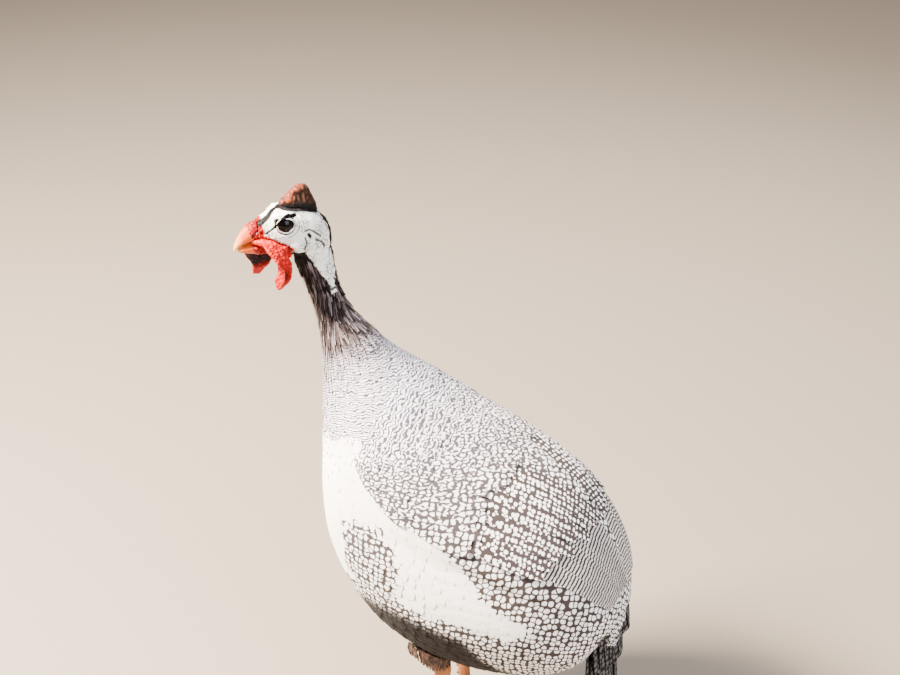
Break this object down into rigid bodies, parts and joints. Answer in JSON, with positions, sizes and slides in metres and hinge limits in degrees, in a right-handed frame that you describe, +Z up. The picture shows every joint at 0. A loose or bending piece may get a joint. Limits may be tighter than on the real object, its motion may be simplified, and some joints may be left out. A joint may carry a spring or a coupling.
{
  "type": "guinea fowl",
  "caption": "Life-size standing helmeted guinea fowl, pearl grey with a white breast, head turned to its left, made as a still model.",
  "frame": {"origin": "on the ground, under the middle of the bird's bounding box", "axes": "+Z up from the ground, -Y the way the breast faces, +X the bird's own left"},
  "size_m": [0.1596, 0.296, 0.4826],
  "materials": {
    "plumage": "matte pearl-grey feathers with white spots and a white breast",
    "face": "bare warty white skin with black hair lines and a red cere",
    "casque": "orange-brown horn over bone, darker behind",
    "bill": "pinkish orange horn",
    "wattle": "bright red fleshy skin",
    "eye": "wet dark brown eye",
    "leg": "orange-brown scaly skin",
    "claw": "dark brown horn"
  },
  "bodies": {
    "root": {"torso": "plumage", "neck": "plumage", "tail": "plumage", "wing_left": "plumage", "wing_right": "plumage", "drumstick_left": "plumage", "drumstick_right": "plumage", "head": "face", "casque": "casque", "upper_bill": "bill", "lower_bill": "bill", "wattle_left": "wattle", "wattle_right": "wattle", "eye_left": "eye", "eye_right": "eye", "shank_left": "leg", "foot_left": "leg", "claw_left_inner": "claw", "claw_left_middle": "claw", "claw_left_outer": "claw", "claw_left_hind": "claw", "shank_right": "leg", "foot_right": "leg", "claw_right_inner": "claw", "claw_right_middle": "claw", "claw_right_outer": "claw", "claw_right_hind": "claw"}
  },
  "joints": []
}
